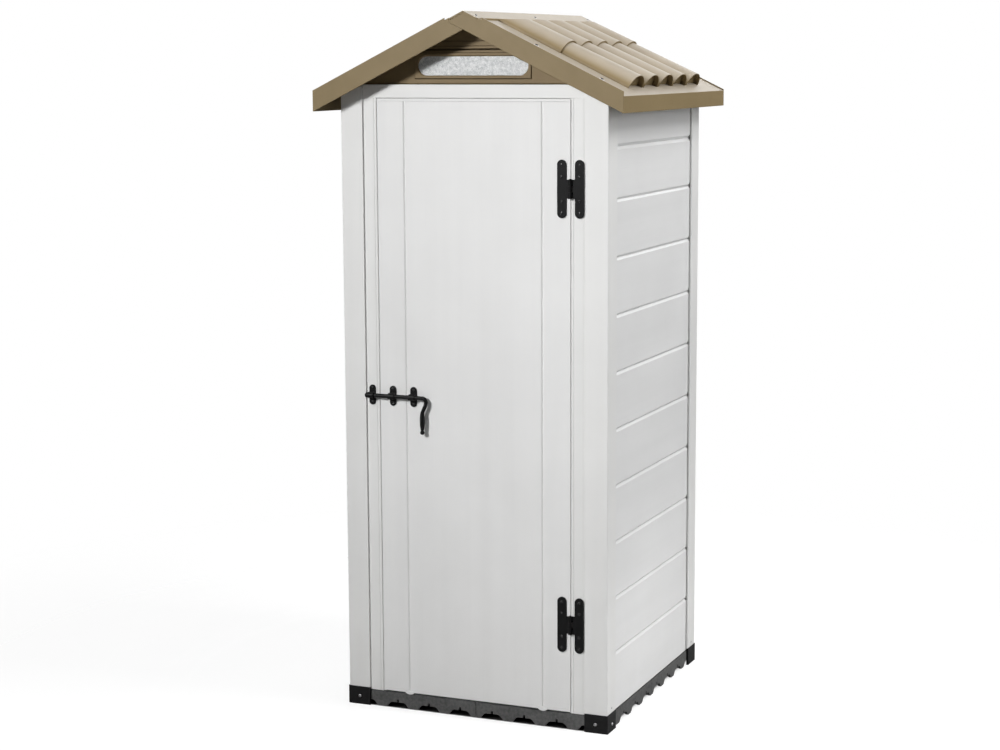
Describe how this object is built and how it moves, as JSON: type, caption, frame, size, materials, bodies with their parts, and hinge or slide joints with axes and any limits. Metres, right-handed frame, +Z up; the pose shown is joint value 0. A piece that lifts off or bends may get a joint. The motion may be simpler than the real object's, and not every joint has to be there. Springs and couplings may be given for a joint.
{
  "type": "garden shed",
  "caption": "Narrow garden tool shed with tongue-and-groove plastic walls, a gabled tile-look roof, a hinged front door with a sliding drop-handle bolt, and a tiled floor.",
  "frame": {"origin": "on the ground, at the middle of the shed's plan", "axes": "+X to the right as seen from the front (hinge side), +Y to the back, +Z up; the door faces -Y"},
  "size_m": [0.9306, 0.9206, 2.0157],
  "materials": {
    "frame_pvc": "satin white extruded PVC with a fine embossed grain",
    "board_pvc": "satin white extruded PVC with a fine wood-grain emboss along the boards",
    "door_pvc": "satin white extruded PVC with a fine embossed grain",
    "roof_plastic": "matt taupe-brown moulded plastic, slightly speckled",
    "gable_plastic": "matt taupe-brown moulded plastic",
    "frosted_pane": "frosted, hammered translucent plastic",
    "floor_plastic": "dark grey moulded plastic with a coarse grain",
    "block_plastic": "black moulded plastic, satin",
    "black_iron": "black powder-coated steel, satin with light edge wear",
    "black_screws": "black-coated steel screws",
    "bright_screws": "zinc-plated steel screws",
    "roof_screws": "grey-coated roofing screws with washer heads"
  },
  "bodies": {
    "shed": {"base_block_screws": "bright_screws", "bolt_keeper": "black_iron", "bolt_keeper_screws": "black_screws", "corner_block_front_left": "block_plastic", "corner_block_front_right": "block_plastic", "corner_block_rear_left": "block_plastic", "corner_block_rear_right": "block_plastic", "corner_post_front_left": "frame_pvc", "corner_post_front_right": "frame_pvc", "corner_post_rear_left": "frame_pvc", "corner_post_rear_right": "frame_pvc", "floor_tile_front_left": "floor_plastic", "floor_tile_front_right": "floor_plastic", "floor_tile_rear_left": "floor_plastic", "floor_tile_rear_right": "floor_plastic", "front_gable": "gable_plastic", "front_top_rail": "frame_pvc", "gable_window_frame": "gable_plastic", "gable_window_pane": "frosted_pane", "jamb_hinge_screws": "black_screws", "left_door_jamb": "frame_pvc", "left_top_rail": "frame_pvc", "left_wall_boards": "board_pvc", "lower_hinge_jamb_leaf": "black_iron", "lower_hinge_pin": "black_iron", "post_foot_screws": "bright_screws", "rear_gable": "gable_plastic", "rear_top_rail": "frame_pvc", "rear_wall_boards": "board_pvc", "ridge_cap": "roof_plastic", "ridge_cap_screws": "roof_screws", "right_door_jamb": "frame_pvc", "right_top_rail": "frame_pvc", "right_wall_boards": "board_pvc", "roof_left": "roof_plastic", "roof_right": "roof_plastic", "roof_rim_screws": "roof_screws", "upper_hinge_jamb_leaf": "black_iron", "upper_hinge_pin": "black_iron"},
    "door": {"door_latch_stile": "door_pvc", "door_center_panel": "door_pvc", "door_hinge_stile": "door_pvc", "door_top_cap": "door_pvc", "door_bottom_cap": "door_pvc", "upper_hinge_door_leaf": "black_iron", "lower_hinge_door_leaf": "black_iron", "bolt_staple_outer": "black_iron", "bolt_staple_inner": "black_iron", "door_hinge_screws": "black_screws", "bolt_staple_screws": "black_screws"},
    "bolt": {"bolt_bar": "black_iron"},
    "handle": {"bolt_handle": "black_iron"}
  },
  "joints": [
    {"name": "door_hinge", "type": "hinge", "parent": "shed", "child": "door", "pos_m": [0.2935, -0.407, 0.91885], "axis": [0, 0, 1], "range_deg": [0, 120]},
    {"name": "bolt_slide", "type": "slide", "parent": "door", "child": "bolt", "axis": [-1, 0, 0], "range_m": [-0.03, 0.013]},
    {"name": "handle_turn", "type": "hinge", "parent": "bolt", "child": "handle", "pos_m": [-0.187, -0.4145, 0.929], "axis": [-1, 0, 0], "range_deg": [0, 140]}
  ]
}
